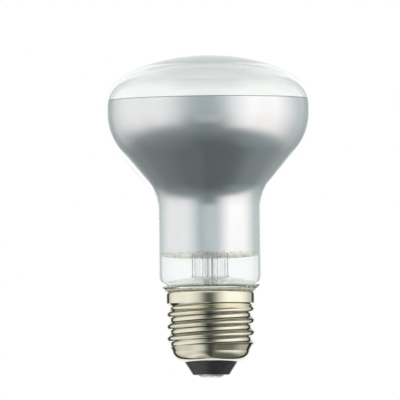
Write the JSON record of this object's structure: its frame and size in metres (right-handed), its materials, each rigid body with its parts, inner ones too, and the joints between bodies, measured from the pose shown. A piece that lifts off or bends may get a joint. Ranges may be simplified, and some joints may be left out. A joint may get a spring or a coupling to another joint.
{
  "type": "reflector bulb",
  "caption": "Mushroom-shaped lamp with a mirrored bowl, clear domed front and clear neck, on a medium screw cap.",
  "frame": {"origin": "lowest point of the centre contact, on the lamp's axis", "axes": "+Z along the axis from the cap to the domed front, +Y away from the picture's camera"},
  "size_m": [0.062, 0.062, 0.0969],
  "materials": {
    "envelope_glass": "clear blown glass, polished",
    "stem_glass": "clear drawn glass",
    "mirror_film": "soft satin aluminium film",
    "cap_metal": "bright nickel plate, warm tint",
    "insulator_black": "black, slightly glossy",
    "contact_metal": "tinned metal, dull",
    "basing_cement": "rough baked cement",
    "wire_metal": "plain drawn wire",
    "phosphor_yellow": "yellow phosphor coat",
    "tab_metal": "bare strip",
    "board_laminate": "plain laminate",
    "component_black": "moulded black",
    "capacitor_sleeve": "shrunk sleeve",
    "choke_ferrite": "ferrite and winding",
    "fuse_body": "coated body"
  },
  "bodies": {
    "root": {"glass_bulb": "envelope_glass", "mirror_coating": "mirror_film", "glass_stem": "stem_glass", "front_lead": "wire_metal", "back_lead": "wire_metal", "crown_wire_1": "wire_metal", "crown_wire_2": "wire_metal", "led_filament_1": "phosphor_yellow", "led_filament_2": "phosphor_yellow", "led_filament_3": "phosphor_yellow", "led_filament_4": "phosphor_yellow", "filament_tabs": "tab_metal", "screw_shell": "cap_metal", "insulator": "insulator_black", "centre_contact": "contact_metal", "basing_cement": "basing_cement", "driver_board": "board_laminate", "bridge_rectifier": "component_black", "smoothing_capacitor": "capacitor_sleeve", "driver_chip": "component_black", "choke_coil": "choke_ferrite", "fuse_resistor": "fuse_body", "shell_wire": "wire_metal"}
  },
  "joints": []
}
